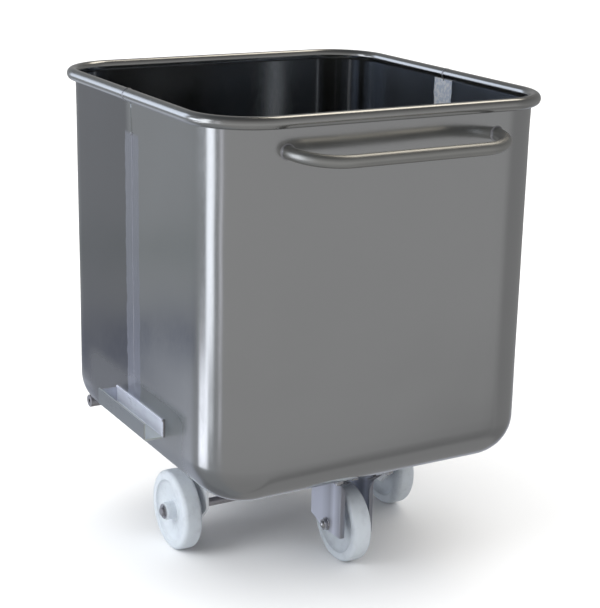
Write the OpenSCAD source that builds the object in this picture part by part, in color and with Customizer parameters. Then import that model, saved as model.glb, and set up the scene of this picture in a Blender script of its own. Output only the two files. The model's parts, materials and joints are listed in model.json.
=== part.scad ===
// Wheeled stainless tote bin: a deep tub of two pressed half shells on four wheels.
// Lengths are millimetres, the floor is z = 0, the push handle faces -Y.

/* [Tub] */
// Outside width of the tub, left to right
tub_w = 640; // [600:2:700]
// Outside depth of the tub, front to rear
tub_d = 662; // [630:2:720]
// Height of the tub's flat underside above the floor
floor_gap = 202.5; // [200:0.5:230]
// Height of the rim's centre line above the floor
rim_z = 854.4; // [700:0.1:900]
// Radius of the four upright corners
corner_r = 98.5; // [90:0.5:120]
// Radius between the walls and the bottom
bottom_r = 74; // [50:1:80]
// Thickness of the tub's sheet
sheet = 2; // [1.5:0.25:3]
// Width of the weld that joins the two half shells
seam_w = 3; // [2:0.5:4]

/* [Rim and push handle] */
// Diameter of the rim and handle tube
tube_d = 21.3; // [18:0.1:25]
// Wall of the rim and handle tube
tube_wall = 2; // [1.5:0.25:3]
// Distance of the rim's centre line outside the wall
rim_out = 5; // [3:0.5:8]
// Distance between the handle's two ends
handle_w = 400; // [300:2:420]
// Distance of the handle's bar from the wall
handle_reach = 75; // [60:1:90]
// Height of the handle below the rim's centre line
handle_below = 48; // [40:1:80]

/* [Lift rails and lift bar] */
// Length of each lift rail
rail_len = 202; // [150:2:240]
// Width of each lift rail, out from the wall
rail_w = 38; // [30:1:45]
// Height of each lift rail
rail_h = 32; // [24:1:40]
// Height of the rails' underside above the floor
rail_z = 280; // [280:1:320]
// Thickness of the rails' plate
rail_plate = 3; // [2:0.5:4]
// Length of the rear lift bar
bar_len = 574; // [460:2:600]
// Diameter of the rear lift bar
bar_d = 25; // [18:1:28]

/* [Wheels] */
// Diameter of all four wheels
wheel_d = 150; // [140:1:156]
// Width of the tread
wheel_w = 36; // [30:1:40]
// Distance of each fixed wheel from the middle of the tub
wheel_x = 231.6; // [225:0.1:240]
// Distance of the fixed axle behind the middle of the tub
axle_y = 8; // [0:1:20]
// Diameter of the axle and of the castors' axle tubes
axle_d = 16; // [14:0.5:18]
// Clearance on the radius between an axle and its bush
running_gap = 0.05; // [0.02:0.01:0.08]

/* [Castors] */
// Distance of each swivel axis from the middle of the tub
castor_y = 200; // [195:1:205]
// Distance of the swivel axes to the right of the middle
castor_x = 18; // [0:1:25]
// Distance of a castor wheel behind its swivel axis
trail = 25; // [20:1:30]
// Thickness of the fork's sheet
fork_sheet = 4; // [3:0.5:5]
// Width inside the fork
fork_gap = 62; // [60:1:70]

/* [Hidden] */
$fn = 96;

// The whole object is shifted so that its outline is centred on the origin.
origin_y = (handle_reach - rim_out) / 2;

half_w = tub_w / 2;
half_d = tub_d / 2;
flat_x = half_w - corner_r;
flat_y = half_d - corner_r;
tub_h = rim_z - floor_gap;
tube_r = tube_d / 2;
bead_r = tube_r + 0.9;
rim_x = half_w + rim_out;
rim_y = half_d + rim_out;
rim_corner = corner_r + rim_out;

handle_z = rim_z - handle_below;
weld_leg = 3;
weld_toe = 0.6;

rail_start = -128;
rail_bend = 5;
bar_r = bar_d / 2;
bar_bore = 8;
bar_bore_depth = 30;
bar_angle = 61;
root_gap = 0.2;
bar_weld_r = 4.2;
bar_weld_len = 36;
bar_weld_x = [-185, -65, 65, 185];
bar_offset = bottom_r + bar_r + root_gap;
bend_y = half_d - bottom_r;
bend_z = floor_gap + bottom_r;
bar_y = bend_y + bar_offset * cos(bar_angle);
bar_z = bend_z - bar_offset * sin(bar_angle);

wheel_r = wheel_d / 2;
axle_r = axle_d / 2;
bush_r = axle_r + 3;
hub_r = bush_r + 5.5;
hub_half = 27;
hub_play = 0.5;
washer_t = 2;
washer_r = 14;
clip_t = 1.2;
clip_groove = 0.8;
clip_out = 3;
hanger_t = 5;
hanger_w = 124;
hanger_foot = 60;
hanger_low = 58;
hanger_shoulder = 92;
lock_hole_d = 6;
pad_t = 3;
washer_in = wheel_x - hub_half - hub_play;
washer_out = wheel_x + hub_half + hub_play;
hanger_x = washer_in - washer_t;
axle_end = washer_out + washer_t + clip_t + 3.5;

castor_pad = [160, 130, 5];
castor_plate = [135, 110, 5];
plate_corner = 10;
stud_x = 52.5;
stud_y = 40;
stud_r = 5;
stud_len = 17;
stud_nut_af = 17;
stud_nut_h = 8;
plate_top = floor_gap - castor_pad[2];
plate_low = plate_top - castor_plate[2];
crown_top = plate_low - 8;
crown_low = crown_top - fork_sheet;
race_in = 22;
race_out = 40;
ball_ring_r = 31;
ball_r = 3;
ball_count = 20;
race_groove = ball_r + 0.3;
kingpin_r = 8;
king_nut_gap = 0.3;
king_flange_r = 15;
king_flange_t = 3;
king_nut_af = 24;
king_nut_h = 9;
leg_x = fork_gap / 2;
leg_outer = leg_x + fork_sheet;
flange_w = 10;
bolt_r = 6;
bolt_af = 19;
bolt_head_h = 7.5;
nut_h = 6;
nut_end = 1;
dome_r = 8;
dome_sink = 3;

// Circumscribed radius of a hexagon across flats af
function hex_r(af) = af / 2 / cos(30);

// ---- tub ----

module quarter_disc(r) {
    intersection() {
        circle(r);
        translate([0, -r]) square(r);
    }
}

// Upright section through a wall: straight wall above, filleted into the bottom
module wall_profile(reach, height, fillet) {
    translate([0, fillet]) square([reach, height - fillet]);
    square([reach - fillet, fillet]);
    translate([reach - fillet, fillet]) quarter_disc(fillet);
}

// Rear half of a filleted, round-cornered tub form, from y = start to its rear wall
module half_form(inset, start) {
    corner = corner_r - inset;
    fillet = bottom_r - inset;
    height = tub_h + inset;
    translate([0, 0, floor_gap + inset]) {
        for (side = [0, 1]) mirror([side, 0, 0]) translate([flat_x, flat_y, 0]) {
            rotate_extrude(angle = 90) wall_profile(corner, height, fillet);
            rotate([90, 0, 0])
                linear_extrude(flat_y - start) wall_profile(corner, height, fillet);
        }
        translate([-flat_x, flat_y, 0]) rotate([90, 0, 90])
            linear_extrude(2 * flat_x) wall_profile(corner, height, fillet);
        translate([-flat_x, start, 0]) cube([2 * flat_x, flat_y - start, height]);
    }
}

// Rear half of a round bar that follows the rim's centre line
module half_rim(r, start) {
    translate([0, 0, rim_z]) {
        for (side = [0, 1]) mirror([side, 0, 0]) {
            translate([flat_x, flat_y, 0])
                rotate_extrude(angle = 90) translate([rim_corner, 0]) circle(r);
            translate([rim_x, start, 0])
                rotate([-90, 0, 0]) cylinder(r = r, h = flat_y - start);
        }
        translate([-flat_x, rim_y, 0])
            rotate([0, 90, 0]) cylinder(r = r, h = 2 * flat_x);
    }
}

module half_shell() {
    difference() {
        half_form(0, seam_w / 2);
        half_form(sheet, seam_w / 2 - 1);
        half_rim(tube_r, seam_w / 2 - 1);
    }
}

module rim_half() {
    difference() {
        half_rim(tube_r, seam_w / 2);
        half_rim(tube_r - tube_wall, seam_w / 2 - 1);
    }
}

module tub_front_shell() {
    color("lightsteelblue") mirror([0, 1, 0]) half_shell();
}

module tub_rear_shell() {
    color("lightsteelblue") half_shell();
}

// U-shaped area inside the tub's outline, grown outwards by grow
module tub_section(grow) {
    for (side = [0, 1]) mirror([side, 0, 0])
        translate([flat_x, 0]) wall_profile(corner_r + grow, tub_h, bottom_r + grow);
    translate([-flat_x, 0]) square([2 * flat_x, tub_h]);
}

module tub_seam_weld() {
    inside_proud = 0.3;
    color("silver") difference() {
        translate([0, seam_w / 2, floor_gap]) rotate([90, 0, 0]) linear_extrude(seam_w)
            difference() {
                tub_section(0);
                translate([0, sheet + inside_proud]) tub_section(-sheet - inside_proud);
            }
        for (side = [-1, 1])
            translate([side * rim_x, 0, rim_z]) rotate([90, 0, 0])
                cylinder(r = bead_r, h = 2 * seam_w, center = true);
    }
}

module rim_front() {
    color("gainsboro") mirror([0, 1, 0]) rim_half();
}

module rim_rear() {
    color("gainsboro") rim_half();
}

module rim_welds() {
    color("silver") for (side = [-1, 1])
        translate([side * rim_x, 0, rim_z]) rotate([90, 0, 0]) difference() {
            cylinder(r = bead_r, h = seam_w, center = true);
            cylinder(r = tube_r - tube_wall, h = 2 * seam_w, center = true);
        }
}

// ---- push handle ----

module handle_frame() {
    translate([0, -half_d, handle_z]) children();
}

// Round bar along the handle's centre line
module handle_bar(r) {
    straight = handle_w - 2 * handle_reach;
    for (side = [0, 1]) mirror([side, 0, 0]) {
        translate([straight / 2, 0, 0]) rotate([0, 0, -90])
            rotate_extrude(angle = 90) translate([handle_reach, 0]) circle(r);
    }
    translate([-straight / 2, -handle_reach, 0])
        rotate([0, 90, 0]) cylinder(r = r, h = straight);
}

module push_handle() {
    color("gainsboro") handle_frame() difference() {
        handle_bar(tube_r);
        handle_bar(tube_r - tube_wall);
    }
}

module handle_welds() {
    color("silver") handle_frame() difference() {
        for (side = [-1, 1]) translate([side * handle_w / 2, 0, 0]) rotate([90, 0, 0])
            cylinder(h = weld_leg, r1 = tube_r + weld_leg, r2 = tube_r + weld_toe);
        handle_bar(tube_r);
    }
}

// ---- lift rails and lift bar ----

// Rectangle with its two lower corners rounded
module round_bottomed(width, height, r) {
    translate([0, r]) square([width, height - r]);
    translate([r, 0]) square([width - 2 * r, r]);
    for (x = [r, width - r]) translate([x, r]) circle(r);
}

module rail_inside(height) {
    translate([rail_plate, rail_plate])
        round_bottomed(rail_w - 2 * rail_plate, height, rail_bend - rail_plate);
}

// Section of the right rail stands in X and Z, and runs along Y from y_from
module rail_extrusion(y_from, length) {
    translate([half_w, y_from + length, rail_z])
        rotate([90, 0, 0]) linear_extrude(length) children();
}

module rail(side) {
    color("silver") mirror([side, 0, 0]) rail_extrusion(rail_start, rail_len)
        difference() {
            round_bottomed(rail_w, rail_h, rail_bend);
            rail_inside(rail_h);
        }
}

module rail_stop(side) {
    color("lightgrey") mirror([side, 0, 0])
        rail_extrusion(rail_start + rail_len - rail_plate, rail_plate)
            rail_inside(rail_h - rail_plate);
}

module along_x(r, length) {
    rotate([0, 90, 0]) cylinder(r = r, h = length, center = true);
}

module rear_lift_bar() {
    color("silver") translate([0, bar_y, bar_z]) difference() {
        along_x(bar_r, bar_len);
        for (side = [-1, 1])
            translate([side * bar_len / 2, 0, 0])
                along_x(bar_bore / 2, 2 * bar_bore_depth);
    }
}

// Stitch welds fill the two grooves between the lift bar and the tub's bottom bend
module lift_bar_welds() {
    to_bend = bottom_r + 1.5;
    to_bar = bar_r + 1.5;
    spread = acos((to_bar * to_bar + bar_offset * bar_offset - to_bend * to_bend)
        / (2 * to_bar * bar_offset));
    color("darkgrey") difference() {
        for (x = bar_weld_x, way = [-1, 1])
            translate([x, bar_y, bar_z]) rotate([180 - bar_angle + way * spread, 0, 0])
                translate([0, to_bar, 0]) along_x(bar_weld_r, bar_weld_len);
        translate([0, bend_y, bend_z]) along_x(bottom_r, tub_w);
        translate([0, bar_y, bar_z]) along_x(bar_r, tub_w);
    }
}

// ---- fixed axle ----

module axle_pad(side) {
    color("grey") translate([side * (hanger_x - hanger_t / 2), axle_y, floor_gap - pad_t / 2])
        cube([64, hanger_w + 12, pad_t], center = true);
}

module axle_hanger(side) {
    top = floor_gap - pad_t;
    outline = [
        [-hanger_w / 2, top], [-hanger_w / 2, hanger_shoulder],
        [-hanger_foot / 2, hanger_low], [hanger_foot / 2, hanger_low],
        [hanger_w / 2, hanger_shoulder], [hanger_w / 2, top]
    ];
    color("darkgrey") mirror([side, 0, 0]) translate([hanger_x - hanger_t, axle_y, 0])
        difference() {
            rotate([90, 0, 90]) linear_extrude(hanger_t) polygon(outline);
            translate([0, 0, wheel_r]) along_x(axle_r, 3 * hanger_t);
            translate([0, -38, hanger_shoulder - 4]) along_x(lock_hole_d / 2, 3 * hanger_t);
        }
}

module wheel_axle() {
    groove_x = washer_out + washer_t + clip_t / 2;
    color("silver") translate([0, axle_y, wheel_r]) difference() {
        along_x(axle_r, 2 * axle_end);
        for (side = [-1, 1]) translate([side * groove_x, 0, 0]) difference() {
            along_x(axle_r + 1, clip_t);
            along_x(axle_r - clip_groove, clip_t + 1);
        }
    }
}

module ring_along_x(r_in, r_out, length) {
    difference() {
        along_x(r_out, length);
        along_x(r_in, length + 2);
    }
}

module axle_washers() {
    color("silver") for (side = [-1, 1])
        for (x = [washer_in - washer_t / 2, washer_out + washer_t / 2])
            translate([side * x, axle_y, wheel_r]) ring_along_x(axle_r, washer_r, washer_t);
}

module axle_circlips() {
    x = washer_out + washer_t + clip_t / 2;
    color("dimgrey") for (side = [-1, 1])
        translate([side * x, axle_y, wheel_r]) difference() {
            ring_along_x(axle_r - clip_groove, axle_r + clip_out, clip_t);
            translate([0, 0, -axle_d]) cube([2 * clip_t, 5, 2 * axle_d], center = true);
        }
}

// ---- wheels ----

// Half section of a wheel: x is the radius, y runs along the axle
module wheel_section() {
    round_r = 8;
    tread_in = wheel_r - 20;
    half = wheel_w / 2;
    web_half = half - 10;
    translate([tread_in, -half]) square([wheel_r - round_r - tread_in, wheel_w]);
    translate([tread_in, -half + round_r])
        square([wheel_r - tread_in, wheel_w - 2 * round_r]);
    for (side = [-1, 1])
        translate([wheel_r - round_r, side * (half - round_r)]) circle(round_r);
    translate([bush_r, -web_half]) square([tread_in - bush_r, 2 * web_half]);
    translate([bush_r, -hub_half]) square([hub_r - bush_r, 2 * hub_half]);
}

module wheel(at) {
    color("white") translate(at) rotate([0, 90, 0]) rotate_extrude() wheel_section();
}

module wheel_bush(at) {
    color("dimgrey") translate(at)
        ring_along_x(axle_r + running_gap, bush_r, 2 * hub_half);
}

left_at = [-wheel_x, axle_y, wheel_r];
right_at = [wheel_x, axle_y, wheel_r];
front_at = [castor_x, trail - castor_y, wheel_r];
rear_at = [castor_x, trail + castor_y, wheel_r];

// ---- castors, each drawn about its own swivel axis ----

module at_castor(way) {
    translate([castor_x, way * castor_y, 0]) children();
}

module at_studs() {
    for (x = [-stud_x, stud_x], y = [-stud_y, stud_y]) translate([x, y, 0]) children();
}

module rounded_plate(size, r) {
    linear_extrude(size[2]) {
        square([size[0] - 2 * r, size[1]], center = true);
        square([size[0], size[1] - 2 * r], center = true);
        for (x = [-1, 1], y = [-1, 1])
            translate([x * (size[0] / 2 - r), y * (size[1] / 2 - r)]) circle(r);
    }
}

module pad(way) {
    color("grey") at_castor(way) translate([0, 0, plate_top])
        rounded_plate(castor_pad, plate_corner);
}

module pad_studs(way) {
    color("silver") at_castor(way) at_studs()
        translate([0, 0, plate_top - stud_len]) cylinder(r = stud_r, h = stud_len);
}

module top_plate(way) {
    color("lightgrey") at_castor(way) difference() {
        translate([0, 0, plate_low]) rounded_plate(castor_plate, plate_corner);
        translate([0, 0, plate_low - 1])
            cylinder(r = kingpin_r, h = castor_plate[2] + 2);
        at_studs() translate([0, 0, plate_low - 1])
            cylinder(r = stud_r, h = castor_plate[2] + 2);
    }
}

module plate_nuts(way) {
    color("silver") at_castor(way) at_studs()
        translate([0, 0, plate_low - stud_nut_h]) difference() {
            cylinder(r = hex_r(stud_nut_af), h = stud_nut_h, $fn = 6);
            translate([0, 0, -1]) cylinder(r = stud_r, h = stud_nut_h + 2);
        }
}

module ball_groove() {
    translate([0, 0, crown_top + ball_r])
        rotate_extrude() translate([ball_ring_r, 0]) circle(race_groove, $fn = 48);
}

module race_ring(z, height) {
    difference() {
        translate([0, 0, z]) cylinder(r = race_out, h = height);
        translate([0, 0, z - 1]) cylinder(r = race_in, h = height + 2);
        ball_groove();
    }
}

module swivel_race(way) {
    height = 3.5;
    color("silver") at_castor(way) race_ring(plate_low - height, height);
}

module kingpin(way) {
    bottom = crown_low - king_nut_gap - king_flange_t - king_nut_h - 2;
    color("silver") at_castor(way) translate([0, 0, bottom])
        cylinder(r = kingpin_r, h = plate_top - bottom);
}

module king_nut(way) {
    top = crown_low - king_nut_gap;
    color("darkgrey") at_castor(way) difference() {
        union() {
            translate([0, 0, top - king_flange_t])
                cylinder(r = king_flange_r, h = king_flange_t);
            translate([0, 0, top - king_flange_t - king_nut_h])
                cylinder(r = hex_r(king_nut_af), h = king_nut_h, $fn = 6);
        }
        translate([0, 0, top - 2 * king_nut_h])
            cylinder(r = kingpin_r, h = 3 * king_nut_h);
    }
}

module fork(way) {
    foot = wheel_r - 12;
    leg = [
        [-32, crown_top], [36, crown_top], [82, wheel_r + 49], [78, wheel_r + 1],
        [42, foot], [-20, foot + 2], [-20, crown_low - 13]
    ];
    color("lightgrey") at_castor(way) difference() {
        union() {
            for (side = [0, 1]) mirror([side, 0, 0]) {
                translate([leg_x, 0, 0])
                    rotate([90, 0, 90]) linear_extrude(fork_sheet) polygon(leg);
                translate([leg_outer - flange_w, -20, foot + 2])
                    cube([flange_w, fork_sheet, crown_low - foot - 15]);
            }
            translate([-leg_outer, -32, crown_low]) cube([2 * leg_outer, 68, fork_sheet]);
            translate([0, 0, crown_low]) cylinder(r = race_out + 2, h = fork_sheet);
            race_ring(crown_top, 2);
        }
        translate([0, 0, crown_low - 1])
            cylinder(r = kingpin_r + running_gap, h = fork_sheet + 2);
        translate([0, trail, wheel_r]) along_x(bolt_r, 3 * leg_outer);
    }
}

module race_balls(way) {
    color("silver") at_castor(way) for (i = [0 : ball_count - 1])
        rotate([0, 0, i * 360 / ball_count])
            translate([ball_ring_r, 0, crown_top + ball_r]) sphere(ball_r, $fn = 32);
}

module at_fork_axle(way) {
    at_castor(way) translate([0, trail, wheel_r]) children();
}

module axle_tube(way) {
    color("silver") at_fork_axle(way) ring_along_x(bolt_r, axle_r, fork_gap);
}

module fork_spacers(way) {
    length = leg_x - hub_half - hub_play;
    color("silver") at_fork_axle(way) for (side = [-1, 1])
        translate([side * (leg_x - length / 2), 0, 0])
            ring_along_x(axle_r, axle_r + 4, length);
}

module fork_bolt(way) {
    head_x = leg_outer + washer_t;
    color("silver") at_fork_axle(way) {
        translate([nut_end - head_x - nut_h, 0, 0])
            rotate([0, 90, 0]) cylinder(r = bolt_r, h = 2 * head_x + nut_h - nut_end);
        translate([head_x, 0, 0])
            rotate([0, 90, 0]) cylinder(r = hex_r(bolt_af), h = bolt_head_h, $fn = 6);
    }
}

module fork_washers(way) {
    color("silver") at_fork_axle(way) for (side = [-1, 1])
        translate([side * (leg_outer + washer_t / 2), 0, 0])
            ring_along_x(bolt_r, bolt_r + 6, washer_t);
}

module fork_nut(way) {
    color("silver") at_fork_axle(way)
        translate([-leg_outer - washer_t - nut_h, 0, 0]) rotate([0, 90, 0]) {
            difference() {
                cylinder(r = hex_r(bolt_af), h = nut_h, $fn = 6);
                translate([0, 0, nut_end]) cylinder(r = bolt_r, h = nut_h);
            }
            intersection() {
                translate([0, 0, dome_sink]) sphere(dome_r);
                translate([0, 0, -dome_r]) cylinder(r = dome_r, h = dome_r + nut_end / 2);
            }
        }
}

module placed() {
    translate([0, origin_y, 0]) children();
}

placed() tub_front_shell();
placed() tub_rear_shell();
placed() tub_seam_weld();
placed() rim_front();
placed() rim_rear();
placed() rim_welds();
placed() push_handle();
placed() handle_welds();
placed() rail(1);  // lift_rail_left
placed() rail(0);  // lift_rail_right
placed() rail_stop(1);  // rail_stop_left
placed() rail_stop(0);  // rail_stop_right
placed() rear_lift_bar();
placed() lift_bar_welds();
placed() axle_pad(-1);  // axle_pad_left
placed() axle_pad(1);  // axle_pad_right
placed() axle_hanger(1);  // axle_hanger_left
placed() axle_hanger(0);  // axle_hanger_right
placed() wheel_axle();
placed() axle_washers();
placed() axle_circlips();
placed() wheel(left_at);  // left_wheel
placed() wheel(right_at);  // right_wheel
placed() wheel_bush(left_at);  // left_wheel_bush
placed() wheel_bush(right_at);  // right_wheel_bush
placed() pad(-1);  // front_castor_pad
placed() pad_studs(-1);  // front_pad_studs
placed() top_plate(-1);  // front_castor_plate
placed() plate_nuts(-1);  // front_plate_nuts
placed() swivel_race(-1);  // front_swivel_race
placed() kingpin(-1);  // front_kingpin
placed() king_nut(-1);  // front_king_nut
placed() fork(-1);  // front_fork
placed() race_balls(-1);  // front_race_balls
placed() axle_tube(-1);  // front_axle_tube
placed() fork_spacers(-1);  // front_fork_spacers
placed() fork_bolt(-1);  // front_fork_bolt
placed() fork_washers(-1);  // front_fork_washers
placed() fork_nut(-1);  // front_fork_nut
placed() wheel(front_at);  // front_wheel
placed() wheel_bush(front_at);  // front_wheel_bush
placed() pad(1);  // rear_castor_pad
placed() pad_studs(1);  // rear_pad_studs
placed() top_plate(1);  // rear_castor_plate
placed() plate_nuts(1);  // rear_plate_nuts
placed() swivel_race(1);  // rear_swivel_race
placed() kingpin(1);  // rear_kingpin
placed() king_nut(1);  // rear_king_nut
placed() fork(1);  // rear_fork
placed() race_balls(1);  // rear_race_balls
placed() axle_tube(1);  // rear_axle_tube
placed() fork_spacers(1);  // rear_fork_spacers
placed() fork_bolt(1);  // rear_fork_bolt
placed() fork_washers(1);  // rear_fork_washers
placed() fork_nut(1);  // rear_fork_nut
placed() wheel(rear_at);  // rear_wheel
placed() wheel_bush(rear_at);  // rear_wheel_bush
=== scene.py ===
"""A wheeled stainless tote bin: two pressed half shells, tubular rim, push handle, lift rails, castors.

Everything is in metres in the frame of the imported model: the floor is z = 0 and the handle faces -Y.
"""
import json
import math

import bmesh
import bpy
from mathutils import Matrix, Vector, noise


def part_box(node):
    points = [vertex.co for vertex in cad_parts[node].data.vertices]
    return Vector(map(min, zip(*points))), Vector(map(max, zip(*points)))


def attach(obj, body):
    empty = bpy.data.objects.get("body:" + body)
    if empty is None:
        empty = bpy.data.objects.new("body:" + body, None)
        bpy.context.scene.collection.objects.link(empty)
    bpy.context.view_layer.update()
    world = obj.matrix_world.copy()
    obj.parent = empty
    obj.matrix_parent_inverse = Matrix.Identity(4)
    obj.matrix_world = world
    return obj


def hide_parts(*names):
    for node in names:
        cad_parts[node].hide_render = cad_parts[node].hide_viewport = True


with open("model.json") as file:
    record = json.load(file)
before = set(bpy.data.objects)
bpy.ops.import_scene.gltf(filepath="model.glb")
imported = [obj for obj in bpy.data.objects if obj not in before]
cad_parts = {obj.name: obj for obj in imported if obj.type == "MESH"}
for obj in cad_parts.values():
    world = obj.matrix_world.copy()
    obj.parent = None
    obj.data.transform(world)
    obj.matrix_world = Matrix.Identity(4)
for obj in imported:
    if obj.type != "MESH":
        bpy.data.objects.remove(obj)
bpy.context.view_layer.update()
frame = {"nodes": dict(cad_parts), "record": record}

# ---- measures read from the frame ----


def middle(node):
    """Centre of a node's CAD box."""
    low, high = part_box(node)
    return (low + high) / 2


def size(node):
    """Extents of a node's CAD box."""
    low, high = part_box(node)
    return high - low


SEAM_Y = middle("tub_seam_weld").y
SEAM_HALF = size("tub_seam_weld").y / 2
HALF_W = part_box("tub_front_shell")[1].x
HALF_D = SEAM_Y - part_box("tub_front_shell")[0].y
BOTTOM_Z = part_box("tub_front_shell")[0].z
TUBE_R = size("rim_front").z / 2
RIM_Z = middle("rim_front").z
RIM_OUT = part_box("rim_front")[1].x - TUBE_R - HALF_W
WALL_Y = SEAM_Y - HALF_D
HANDLE_Z = middle("push_handle").z
HANDLE_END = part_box("push_handle")[1].x - TUBE_R
HANDLE_REACH = WALL_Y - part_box("push_handle")[0].y - TUBE_R
WHEEL_R = size("left_wheel").y / 2
HUB_HALF = size("left_wheel").x / 2
AXLE_R = size("wheel_axle").z / 2

# ---- measures of the pressing that no box gives ----
CORNER_R = 0.0985
BOTTOM_R = 0.074
SHEET = 0.002
WHEEL_HALF = 0.018
BUSH_R = 0.011
FORK_SHEET = 0.004
BAND_HALF = 0.028
BAND_TOP = 0.788
HANDLE_DROOP = 0.007
RAIL_PLATE = 0.003
BOLT_R = 0.006
NUT_H = 0.006
WASHER = 0.002


# ---- node materials ----


class Nodes:
    """A node tree, with short calls to add and link nodes."""

    def __init__(self, tree):
        self.tree = tree

    def add(self, kind, **values):
        node = self.tree.nodes.new(kind)
        for key, value in values.items():
            if key in node.inputs:
                node.inputs[key].default_value = value
            else:
                setattr(node, key, value)
        return node

    def link(self, output, target):
        self.tree.links.new(output, target)

    def math(self, operation, a, b=None):
        node = self.add("ShaderNodeMath", operation=operation)
        for slot, value in enumerate((a, b)):
            if value is None:
                continue
            if isinstance(value, (int, float)):
                node.inputs[slot].default_value = value
            else:
                self.link(value, node.inputs[slot])
        return node.outputs[0]

    def ramp(self, value, low, high, out_low=0.0, out_high=1.0):
        node = self.add("ShaderNodeMapRange", interpolation_type="SMOOTHSTEP")
        numbers = (("From Min", low), ("From Max", high), ("To Min", out_low), ("To Max", out_high))
        for key, number in numbers:
            node.inputs[key].default_value = number
        self.link(value, node.inputs["Value"])
        return node.outputs["Result"]

    def mix(self, factor, a, b, blend="MIX"):
        node = self.add("ShaderNodeMix", data_type="RGBA", blend_type=blend)
        self.link(factor, node.inputs["Factor"])
        for socket, value in ((node.inputs[6], a), (node.inputs[7], b)):
            if isinstance(value, tuple):
                socket.default_value = (*value, 1)
            else:
                self.link(value, socket)
        return node.outputs[2]

    def colour_ramp(self, value, stops):
        """A ramp of (position, colour) stops. The first two are its ends, which a new ramp has."""
        node = self.add("ShaderNodeValToRGB")
        elements = node.color_ramp.elements
        for i, (position, colour) in enumerate(stops):
            element = elements[i] if i < 2 else elements.new(position)
            element.color = (*colour, 1)
        self.link(value, node.inputs[0])
        return node.outputs[0]


class Shader(Nodes):
    """A material's nodes, placed by the object's own coordinates."""

    def __init__(self, name):
        self.material = bpy.data.materials.new(name)
        self.material.use_nodes = True
        super().__init__(self.material.node_tree)
        self.bsdf = self.tree.nodes["Principled BSDF"]
        self.place = self.add("ShaderNodeTexCoord").outputs["Object"]

    def noise(self, scale, detail, stretch=(1, 1, 1), roughness=0.55):
        mapping = self.add("ShaderNodeMapping")
        mapping.inputs["Scale"].default_value = stretch
        self.link(self.place, mapping.inputs["Vector"])
        texture = self.add("ShaderNodeTexNoise", Scale=scale, Detail=detail, Roughness=roughness)
        self.link(mapping.outputs["Vector"], texture.inputs["Vector"])
        return texture.outputs["Fac"]

    def axis(self, index):
        split = self.add("ShaderNodeSeparateXYZ")
        self.link(self.place, split.inputs[0])
        return split.outputs[index]

    def bump(self, height, distance, strength):
        node = self.add("ShaderNodeBump", Strength=strength, Distance=distance)
        self.link(height, node.inputs["Height"])
        self.link(node.outputs["Normal"], self.bsdf.inputs["Normal"])


def shade(colour, factor):
    """A colour made lighter or darker, kept within 1."""
    return tuple(min(1.0, c * factor) for c in colour)


def steel(name, tint, rough, grain=(1, 1, 1), scale=900.0, depth=0.00001, contrast=0.05, metal=1.0):
    """Satin stainless: fine drawn grain in the gloss, faint smudges from handling and washing."""
    s = Shader(name)
    s.bsdf.inputs["Metallic"].default_value = metal
    fine = s.noise(scale, 2.0, grain)
    smudge = s.noise(7.0, 5.0)
    cloud = s.noise(2.3, 3.0)
    worn = s.math("ADD", s.ramp(fine, 0.3, 0.7, -0.02, 0.02), s.ramp(smudge, 0.35, 0.7, -0.01, 0.03))
    s.link(s.math("ADD", worn, rough), s.bsdf.inputs["Roughness"])
    both = s.math("ADD", s.math("MULTIPLY", smudge, 0.5), s.math("MULTIPLY", cloud, 0.5))
    tone = s.mix(s.ramp(both, 0.35, 0.65), shade(tint, 1 - contrast), shade(tint, 1 + contrast))
    s.link(tone, s.bsdf.inputs["Base Color"])
    s.bump(fine, depth, 0.5)
    return s


def sheet_outside(s):
    """1 on the outer face of the shells and 0 on the inner one, from the depth in the pressing."""

    def beyond(value, limit):
        return s.math("MAXIMUM", s.math("SUBTRACT", value, limit), 0.0)

    def both(a, b):
        return s.math("SQRT", s.math("ADD", s.math("MULTIPLY", a, a), s.math("MULTIPLY", b, b)))

    from_middle = s.math("ABSOLUTE", s.axis(0))
    from_seam = s.math("ABSOLUTE", s.math("SUBTRACT", s.axis(1), SEAM_Y))
    from_core = both(beyond(from_middle, HALF_W - CORNER_R), beyond(from_seam, HALF_D - CORNER_R))
    below_bend = s.math("MAXIMUM", s.math("SUBTRACT", BOTTOM_Z + BOTTOM_R, s.axis(2)), 0.0)
    reach = both(beyond(from_core, CORNER_R - BOTTOM_R), below_bend)
    split = BOTTOM_R - 0.8 * SHEET
    return s.ramp(reach, split - 0.0001, split + 0.0001)


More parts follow.
